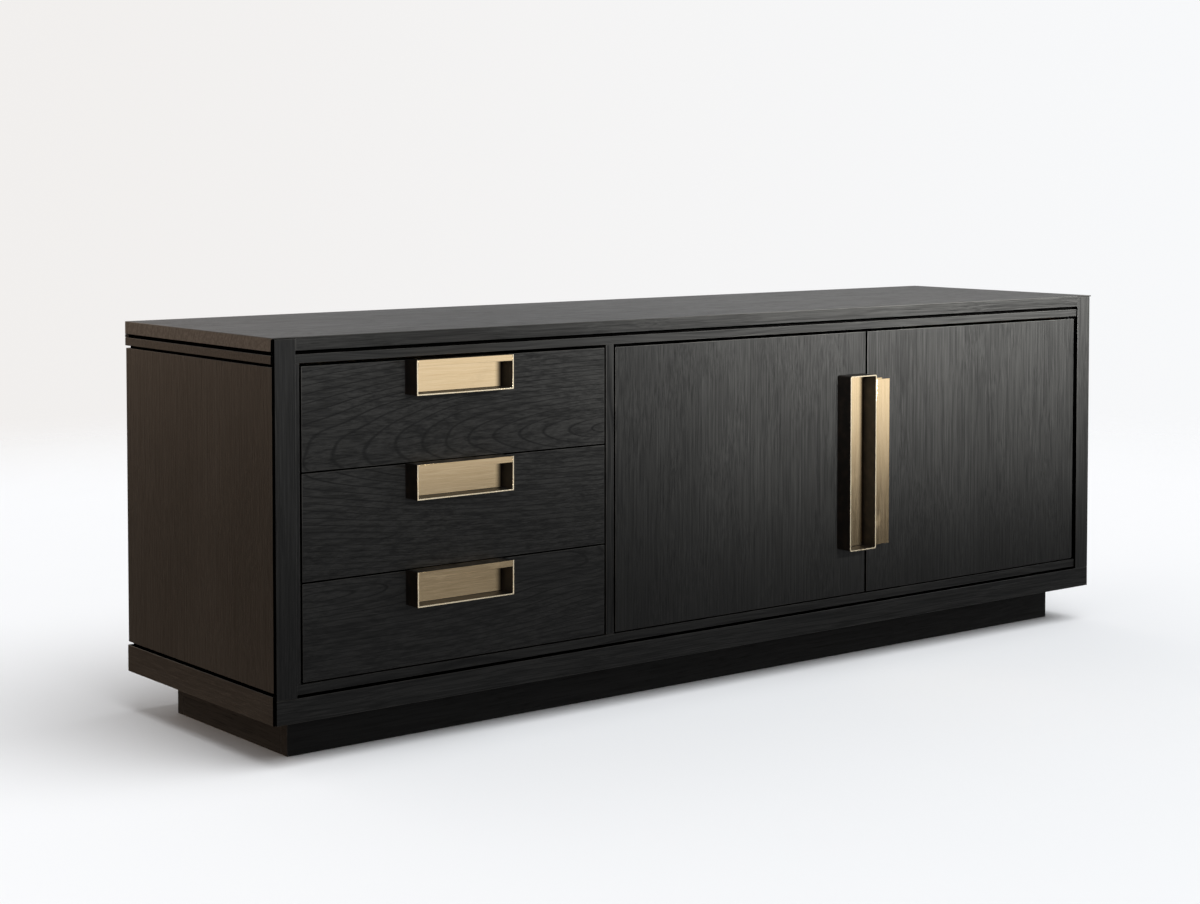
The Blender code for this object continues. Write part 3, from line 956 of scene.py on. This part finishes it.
    def ply_board(
        self, node: str, body: str, grain: Grain, blacked_front: bool = False
    ) -> bpy.types.Object:
        """Swaps a frame node for an eased plywood board.

        Args:
            node: The frame node.
            body: The body it rides on.
            grain: The grain of its face.
            blacked_front: Whether its front edge, behind a gap, wears near-black painted shade.

        Returns:
            The board.
        """
        shape = from_node(node)
        ease(shape, FINE_EDGES)
        low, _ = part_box(node)
        for face in shape.faces:
            if blacked_front and face.calc_center_median().y < low.y + FINE_EDGES.radius:
                face.material_index = 1
        finishes = [BirchPly().dress(f"{node}_birch", grain), self.gap_painted_shade]
        return add_piece(f"{node}_ply", shape, body, finishes, [node])

    def steel_part(self, node: str, body: str, finish: bpy.types.Material) -> bpy.types.Object:
        """Swaps a frame node for an eased steel fitting, with near-black painted shade where it faces a
        gap.

        Args:
            node: The frame node.
            body: The body it rides on.
            finish: Its plating.

        Returns:
            The fitting.
        """
        shape = from_node(node)
        ease(shape, METAL_EDGES)
        for face in shape.faces:
            face.material_index = int(faces_out(face))
        return add_piece(f"{node}_fitting", shape, body, [finish, self.gap_painted_shade], [node])

    def pull_tray(
        self, name: str, node: str, body: str, edges: Edges = METAL_EDGES
    ) -> bpy.types.Object:
        """Swaps a frame node for a tray whose walls wear near-black painted shade, with a polished rim.

        Args:
            name: The tray's name.
            node: The frame node.
            body: The body it rides on.
            edges: How its corners are eased.

        Returns:
            The tray, which the brass beside it doesn't mirror.
        """
        tray = from_node(node)
        ease(tray, edges)
        low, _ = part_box(node)
        for face in tray.faces:
            if face.calc_center_median().y < low.y + self.rim_depth:
                face.material_index = 1
        piece = add_piece(name, tray, body, [self.tray_shade, self.rim], [node])
        piece.visible_glossy = False
        return piece


@dataclass
class Case:
    """The top, the outer frame, the sides, the inner boards and the back."""

    workshop: Workshop
    back_screw_inset: float = 0.012
    back_screws_across: int = 8
    back_screws_up: int = 3
    quirk: float = 0.0041  # how far the recess along a front corner reaches
    groove_in: float = 0.0102  # how deep the grooves go
    skin: float = 0.0022  # and where their linings begin
    body: str = "case"

    def build(self) -> None:
        """Builds the case."""
        self.build_top()
        self.build_frame()
        self.build_sides()
        self.build_inside()
        self.build_back()

    def in_quirk(self, face: bmesh.types.BMFace) -> bool:
        """Whether a face lines the square recess along a front corner.

        Args:
            face: The face.

        Returns:
            Whether it does.
        """
        low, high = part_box("top_panel")
        middle = face.calc_center_median()
        return high.x - abs(middle.x) < self.quirk and middle.y < low.y + self.quirk

    def in_stile_gap(self, face: bmesh.types.BMFace) -> bool:
        """Whether a face of a stile lines its recess or the gap beside a front."""
        return abs(face.normal.x) > SQUARE_ON or self.in_quirk(face)

    def in_end_groove(self, face: bmesh.types.BMFace) -> bool:
        """Whether a face lines a groove along an end of the case.

        Args:
            face: The face.

        Returns:
            Whether it does.
        """
        _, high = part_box("top_panel")
        sunk = high.x - abs(face.calc_center_median().x)
        return self.skin < sunk < self.groove_in and abs(face.normal.y) < ASLANT

    def under_groove(self, face: bmesh.types.BMFace) -> bool:
        """Whether a face is the floor of a groove or lines the recess."""
        return face.normal.z > SQUARE_ON or self.in_quirk(face)

    def over_groove(self, face: bmesh.types.BMFace) -> bool:
        """Whether a face hangs over a groove, its arris with it, or lines the recess."""
        return face.normal.z < -ASLANT or self.in_quirk(face)

    def between_grooves(self, face: bmesh.types.BMFace) -> bool:
        """Whether a face is a groove's floor, or the arris over the one along an end."""
        low_arris = face.normal.z < -ASLANT and abs(face.normal.x) > ASLANT
        return low_arris or self.under_groove(face)

    def in_back_of_groove(self, face: bmesh.types.BMFace) -> bool:
        """Whether a face closes the groove under the top."""
        return faces_out(face) or self.in_end_groove(face)

    def beside_groove(self, face: bmesh.types.BMFace) -> bool:
        """Whether a face of an end panel lines a groove or the recess."""
        return self.in_end_groove(face) or self.in_quirk(face)

    def build_top(self) -> None:
        """The top, and the thin spacer that leaves the groove below it, lined with near-black painted
        shade.
        """
        board = self.workshop.oak_board
        # The top wears the lighter stain as painted light; its front edge keeps the veneer stain.
        board(
            "top_panel",
            self.body,
            Grain.ALONG_TOP,
            Cut(0.2, -0.30, 0.16, 0.015),
            "top_oak",
            blacked=self.over_groove,
            lipped=True,
        )
        board(
            "top_spacer",
            self.body,
            Grain.ALONG_TOP,
            slot="plinth_black",
            edges=FINE_EDGES,
            blacked=self.in_back_of_groove,
        )

    def build_frame(self) -> None:
        """The stiles and rails round the front."""
        board = self.workshop.oak_board
        # The left stile wears the darker frame stain as painted shade, the right stile the lighter veneer
        # stain as painted light.
        for node, cut, stain in (
            ("left_stile", Cut(0.1, 0.30, 0.12, 0.01), self.workshop.frame),
            ("right_stile", Cut(-0.2, 0.26, 0.10, 0.02), self.workshop.veneer),
        ):
            board(node, self.body, Grain.UP_FRONT, cut, stain=stain, blacked=self.in_stile_gap)
        board(
            "bottom_rail",
            self.body,
            Grain.ACROSS_FRONT,
            Cut(0.3, -0.22, 0.12, 0.01),
            blacked=self.under_groove,
        )
        board("left_filler_strip", self.body, Grain.UP_FRONT, stain=self.workshop.frame)

    def build_sides(self) -> None:
        """The end panels and the rails below them."""
        board = self.workshop.oak_board
        for side, turn in (("left", 0.0), ("right", 0.17)):
            cut = Cut(turn, 0.34 + turn, 0.10, 0.03)
            board(
                f"{side}_side_panel",
                self.body,
                Grain.UP_SIDE,
                cut,
                stain=self.workshop.veneer,
                blacked=self.beside_groove,
            )
            board(
                f"{side}_side_rail",
                self.body,
                Grain.ALONG_SIDE,
                Cut(turn, -0.2, 0.10, 0.01),
                stain=self.workshop.frame,
                blacked=self.under_groove,
            )

    def build_inside(self) -> None:
        """The boards behind the fronts, the shelf and the catch."""
        board = self.workshop.oak_board
        board(
            "top_board",
            self.body,
            Grain.ALONG_TOP,
            Cut(0.5, 0.3, 0.12, 0.01),
            stain=self.workshop.veneer,
            blacked=self.between_grooves,
        )
        board("bottom_board", self.body, Grain.ALONG_TOP, Cut(-0.4, 0.3, 0.12, 0.01))
        board("centre_partition", self.body, Grain.UP_SIDE, Cut(0.2, 0.3, 0.11, 0.02))
        for node in ("left_lining", "right_lining"):
            self.workshop.ply_board(node, self.body, Grain.UP_SIDE, blacked_front=True)
        for node in ("left_shelf_cleat", "right_shelf_cleat"):
            self.workshop.ply_board(node, self.body, Grain.ALONG_SIDE)
        self.workshop.ply_board("shelf", self.body, Grain.ALONG_TOP)
        catch = from_node("door_catch")
        ease(catch, FINE_EDGES)
        # The catch's front face wears near-black painted shade.
        for face in catch.faces:
            face.material_index = int(faces_out(face))
        finishes = [MouldedPlastic().dress("catch_plastic"), self.workshop.gap_painted_shade]
        add_piece("door_catch_housing", catch, self.body, finishes, ["door_catch"])

    def build_back(self) -> None:
        """The back panel and the screws round it."""
        self.workshop.oak_board(
            "back_panel", self.body, Grain.UP_FRONT, Cut(0.0, 1.2, 0.12, 0.02), edges=FINE_EDGES
        )
        low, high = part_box("back_panel")
        inset = self.back_screw_inset
        left, right = low.x + inset, high.x - inset
        bottom, top = low.z + inset, high.z - inset
        partition = centre_of("centre_partition").x
        places = []
        for step in range(self.back_screws_across):
            x = left + (right - left) * step / (self.back_screws_across - 1)
            places += [Vector((x, high.y, bottom)), Vector((x, high.y, top))]
        for step in range(1, self.back_screws_up + 1):
            z = bottom + (top - bottom) * step / (self.back_screws_up + 1)
            places += [Vector((x, high.y, z)) for x in (left, partition, right)]
        add_screws(
            "back_panel_screws", self.body, self.workshop.steel, Screw(), places, Vector((0, 1, 0))
        )


@dataclass
class Plinth:
    """The four recessed boards that the case stands on."""

    workshop: Workshop
    body: str = "case"

    def build(self) -> None:
        """Builds the plinth."""
        board = self.workshop.oak_board
        for node in ("plinth_front", "plinth_back"):
            cut = Cut(0.15, 0.06, 0.06, 0.03)
            board(node, self.body, Grain.ACROSS_FRONT, cut, "plinth_black")
        for node in ("plinth_left", "plinth_right"):
            board(node, self.body, Grain.ALONG_SIDE, Cut(0.0, 0.2, 0.1, 0.02), "plinth_black")


@dataclass
class BoxPull:
    """An open-topped tray in near-black painted shade and the folded brass sheet inside it."""

    workshop: Workshop
    body: str
    lip_depth: float = 0.003  # how far in the sheet keeps its bright front

    def build(self) -> None:
        """Builds the tray and the sheet."""
        workshop = self.workshop
        tray_node, sheet_node = f"{self.body}_pull_surround", f"{self.body}_pull_sheet"
        workshop.pull_tray(f"{self.body}_pull_tray", tray_node, self.body)
        sheet = from_node(sheet_node)
        ease(sheet, METAL_EDGES)
        low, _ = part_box(sheet_node)
        for face in sheet.faces:
            if face.calc_center_median().y > low.y + self.lip_depth:
                face.material_index = 1
        finishes = [workshop.brass_flat, workshop.brass_in_tray]
        add_piece(f"{self.body}_pull_lining", sheet, self.body, finishes, [sheet_node])


@dataclass
class Drawer:
    """One drawer: front, plywood box, runners, channels and pull."""

    workshop: Workshop
    level: str
    cut: Cut

    @property
    def body(self) -> str:
        """The body that slides."""
        return f"{self.level}_drawer"

    def build(self) -> None:
        """Builds the drawer and the channels it runs in."""
        workshop, body = self.workshop, self.body
        # The front's narrow edges wear near-black painted shade.
        workshop.oak_board(f"{body}_front", body, Grain.ACROSS_FRONT, self.cut, blacked=is_edge)
        workshop.ply_board(f"{body}_box", body, Grain.ALONG_SIDE)
        workshop.ply_board(f"{body}_bottom", body, Grain.ALONG_TOP)
        for side in ("left", "right"):
            workshop.steel_part(f"{body}_{side}_runner", body, workshop.steel)
            workshop.steel_part(f"{body}_{side}_channel", "case", workshop.steel)
        BoxPull(workshop, body).build()


@dataclass
class Doors:
    """The pair of doors, their brass pulls and the pivots they turn on."""

    workshop: Workshop

    def build(self) -> None:
        """Builds both doors."""
        board = self.workshop.oak_board
        left_cut, right_cut = Cut(0.2, 0.62, 0.14, 0.03), Cut(-0.1, -0.66, 0.16, 0.03)
        veneer = self.workshop.veneer
        for side, cut in (("left", left_cut), ("right", right_cut)):
            body = f"{side}_door"
            # The doors' narrow edges wear near-black painted shade.
            board(f"{body}_board", body, Grain.UP_FRONT, cut, stain=veneer, blacked=is_edge)
        for side in ("left", "right"):
            for end in ("top", "bottom"):
                node = f"{side}_door_{end}_pivot"
                self.workshop.steel_part(node, "case", self.workshop.black_steel)
        self.build_left_pull()
        self.build_right_pull()

    def build_left_pull(self) -> None:
        """The tall tray and its brass plate."""
        body, plate_node = "left_door", "left_door_pull_plate"
        edges = Edges(METAL_EDGES.radius, shortest=0.0)
        self.workshop.pull_tray("left_door_pull_tray", "left_door_pull_surround", body, edges)
        plate = from_node(plate_node)
        ease(plate, METAL_EDGES)
        finishes = [self.workshop.brass_in_tall_tray]
        add_piece("left_door_pull_back", plate, body, finishes, [plate_node])

    def build_right_pull(self) -> None:
        """The folded channel beside it."""
        channel = from_node("right_door_pull")
        ease(channel, METAL_EDGES)
        finishes = [self.workshop.brass_tall, self.workshop.rim]
        add_piece(
            "right_door_pull_channel", channel, "right_door", finishes, ["right_door_pull"]
        )


# --- studio ---


@dataclass(frozen=True)
class Strip:
    """A long soft box that hangs before the sideboard."""

    name: str
    left: float
    right: float
    watts: float
    depth: float = 0.15
    y: float = -1.75
    z: float = 0.98
    aim: Triple = (0.0, 1.54, -0.19)
    spread: float = math.radians(44)
    colour: Colour = (1.0, 1.0, 0.99)


@dataclass(frozen=True)
class FloorSun:
    """The broad light that falls on the floor alone."""

    strength: float = 2.88
    angle: float = math.radians(62)
    aim: Triple = (-0.24, 0.42, -1.0)
    colour: Colour = (0.95, 0.975, 1.0)


@dataclass(frozen=True)
class Air:
    """The light from all round, by how far a direction points right, back and up."""

    x: Value
    y: Value
    z: Value

    def window(self) -> Value:
        """The bright opening to the front right, with its sill just below level."""
        x, z = self.x, self.z
        key_side = (x * 0.62 - self.y * 0.78).spread(0.25, 0.85)
        sill = (z - (x - 0.57) * 0.10).spread(-0.158, -0.103)
        shape = key_side * sill * z.spread(0.45, 0.25)
        return shape * (1.02 + x.spread(0.60, 0.75) * 0.62)

    def wall_behind(self) -> Value:
        """The wall behind, which the top mirrors, brighter from its middle to the right."""
        reach = self.x.spread(-0.5, 0.1) * 0.58 + self.x.spread(0.45, 0.75) * 0.12
        return self.y.spread(0.2, 0.8) * self.z.spread(-0.2, 0.05) * reach

    def left(self) -> Value:
        """How far a direction lies to the left."""
        return (self.x * -0.75 + self.y * 0.66).spread(0.1, 0.6)

    def mirrored(self) -> Value:
        """What gloss alone sees: the pale floor, and a reflector to the front left."""
        x, z = self.x, self.z
        ground = z.spread(-0.15, -0.19) * 0.24 + z.spread(-0.23, -0.36) * 0.36
        reflector = (x * -0.7 - self.y * 0.7).spread(0.2, 0.8) * z.spread(-0.15, 0.0) * 0.55
        return ground * x.spread(0.70, 0.62) + reflector


@dataclass
class Studio:
    """The floor, the light and the camera."""

    strips: tuple[Strip, ...] = (
        Strip("door_strip", -0.05, 2.45, 37.0),
        Strip("drawer_strip", -1.5, -0.1, 2.6),
    )
    sun: FloorSun = FloorSun()
    camera_place: Triple = (-2.5019, -3.0102, 0.8633)
    camera_yaw: float = 38.21
    camera_pitch: float = -2.563
    camera_lens: float = 67.05
    camera_shift: float = -0.15
    sensor_width: float = 36.0
    floor_radius: float = 5.0
    floor_drop: float = 0.0005
    cool_air: Colour = (0.97, 0.985, 1.0)
    warm_air: Colour = (1.0, 0.72, 0.52)
    backdrop_left: Colour = (0.880, 0.860, 0.845)
    backdrop_right: Colour = (0.940, 0.950, 0.965)
    floor: bpy.types.Object | None = None

    def build(self) -> None:
        """Sets the studio."""
        scene = bpy.context.scene
        scene.view_settings.view_transform = "Standard"
        scene.view_settings.look = "None"
        self.add_floor()
        self.add_air()
        for strip in self.strips:
            self.add_strip(strip)
        self.add_floor_light()
        self.add_camera()

    def add_floor(self) -> None:
        """Adds the pale floor."""
        shape = bmesh.new()
        bmesh.ops.create_circle(shape, cap_ends=True, segments=96, radius=self.floor_radius)
        mesh = bpy.data.meshes.new("floor")
        shape.to_mesh(mesh)
        shape.free()
        mesh.materials.append(StudioPaper().dress("studio_paper"))
        floor = bpy.data.objects.new("floor", mesh)
        floor.location.z = -self.floor_drop
        floor.visible_glossy = False
        floor.visible_diffuse = False
        bpy.context.scene.collection.objects.link(floor)
        self.floor = floor

    def add_air(self) -> None:
        """Adds the light from all round, and the plain backdrop that the camera sees."""
        world = bpy.data.worlds.new("studio_air")
        world.use_nodes = True
        palette = Palette(world.node_tree)
        x, y, z = palette.point("Generated")
        light = Air(x, y, z)
        left = light.left()
        low_left = left * z.spread(0.50, 0.20)
        strength = 0.03 + z.spread(-0.15, 0.10) * 0.05 + light.window() + light.wall_behind()
        strength = strength + z.spread(-0.15, 0.0) * (left * 0.40 + low_left * 0.90)
        glossy = palette.node("ShaderNodeLightPath", output="Is Glossy Ray")
        strength = strength + glossy * light.mirrored()
        tint = palette.mix(low_left, self.cool_air, self.warm_air)
        air = palette.node("ShaderNodeBackground", inputs={0: tint, 1: strength})
        across = (x * 0.787 - y * 0.617).spread(-0.35, 0.35)
        backdrop = palette.mix(across, self.backdrop_left, self.backdrop_right)
        seen = palette.node("ShaderNodeBackground", inputs={0: backdrop, 1: 1.0})
        direct = palette.node("ShaderNodeLightPath", output="Is Camera Ray")
        both = palette.node("ShaderNodeMixShader", inputs={0: direct, 1: air, 2: seen})
        palette.node("ShaderNodeOutputWorld", inputs={0: both})
        bpy.context.scene.world = world

    def link_light(self, holder: bpy.types.Object, group: str, state: str) -> None:
        """Links a lamp to the floor, either to light it alone or to spare it.

        Args:
            holder: The lamp's object.
            group: A name for the linking.
            state: INCLUDE or EXCLUDE.
        """
        linked = bpy.data.collections.new(group)
        linked.objects.link(self.floor)
        linked.collection_objects[0].light_linking.link_state = state
        holder.light_linking.receiver_collection = linked

    def add_strip(self, strip: Strip) -> None:
        """Adds a soft box, which is shaded from the floor.

        Args:
            strip: The soft box.
        """
        lamp = bpy.data.lights.new(strip.name, "AREA")
        lamp.shape = "RECTANGLE"
        lamp.size = strip.right - strip.left
        lamp.size_y = strip.depth
        lamp.energy = strip.watts
        lamp.spread = strip.spread
        lamp.color = strip.colour
        holder = bpy.data.objects.new(strip.name, lamp)
        holder.location = ((strip.left + strip.right) / 2, strip.y, strip.z)
        holder.rotation_euler = Vector(strip.aim).to_track_quat("-Z", "Y").to_euler()
        bpy.context.scene.collection.objects.link(holder)
        self.link_light(holder, f"{strip.name}_spares", "EXCLUDE")

    def add_floor_light(self) -> None:
        """Adds the light that falls on the floor alone, from the front right."""
        lamp = bpy.data.lights.new("floor_light", "SUN")
        lamp.energy = self.sun.strength
        lamp.angle = self.sun.angle
        lamp.color = self.sun.colour
        holder = bpy.data.objects.new("floor_light", lamp)
        holder.rotation_euler = Vector(self.sun.aim).to_track_quat("-Z", "Y").to_euler()
        bpy.context.scene.collection.objects.link(holder)
        self.link_light(holder, "floor_only", "INCLUDE")

    def add_camera(self) -> None:
        """Adds the camera, level with a seated viewer to the front left."""
        lens = bpy.data.cameras.new("camera")
        lens.sensor_width = self.sensor_width
        lens.lens = self.camera_lens
        lens.shift_y = self.camera_shift
        camera = bpy.data.objects.new("camera", lens)
        camera.location = self.camera_place
        camera.rotation_euler = (
            math.radians(90 + self.camera_pitch),
            0.0,
            math.radians(-self.camera_yaw),
        )
        bpy.context.scene.collection.objects.link(camera)
        bpy.context.scene.camera = camera


def main() -> None:
    """Builds the sideboard and its studio."""
    logging.basicConfig(level=logging.INFO, format="%(name)s: %(message)s")
    workshop = Workshop()
    Studio().build()
    Case(workshop).build()
    Plinth(workshop).build()
    for level, cut in (
        ("top", Cut(0.55, -0.05, 0.05, 0.16)),
        ("middle", Cut(0.55, 0.11, 0.05, 0.16)),
        ("bottom", Cut(0.30, 0.05, 0.07, 0.12)),
    ):
        Drawer(workshop, level, cut).build()
    Doors(workshop).build()


if __name__ == "__main__":
    main()
